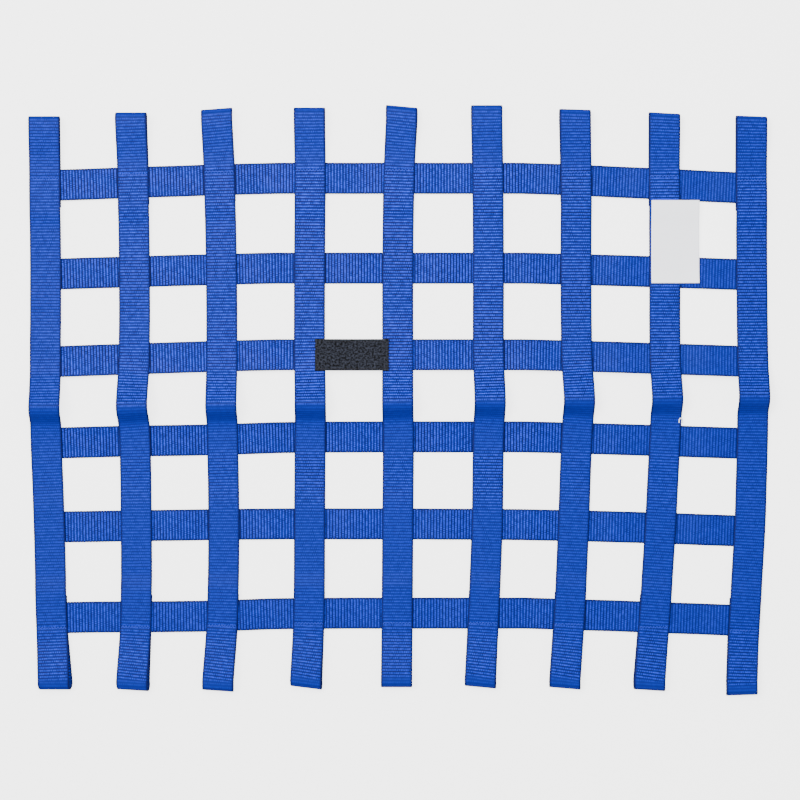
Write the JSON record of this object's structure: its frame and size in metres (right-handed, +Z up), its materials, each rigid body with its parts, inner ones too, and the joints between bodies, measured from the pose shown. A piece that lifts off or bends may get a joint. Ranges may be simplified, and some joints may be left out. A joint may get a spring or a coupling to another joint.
{
  "type": "racing window net",
  "caption": "Flat safety net of crossed webbing straps for a race car's window, with a rod loop at both ends of each upright strap and sewn-on labels, lying flat with a packing crease.",
  "frame": {"origin": "middle of the net's outline, on the surface that it lies on", "axes": "+X across the net to the right, +Y up the net, +Z up out of its face"},
  "size_m": [0.6081, 0.485, 0.0154],
  "materials": {
    "webbing": "woven",
    "label_black": "woven",
    "label_white": "satin"
  },
  "bodies": {
    "root": {"upright_1": "webbing", "upright_2": "webbing", "upright_3": "webbing", "upright_4": "webbing", "upright_5": "webbing", "upright_6": "webbing", "upright_7": "webbing", "upright_8": "webbing", "upright_9": "webbing", "cross_1": "webbing", "cross_2": "webbing", "cross_3": "webbing", "cross_4": "webbing", "cross_5": "webbing", "cross_6": "webbing", "label_black": "label_black", "label_white": "label_white"}
  },
  "joints": []
}
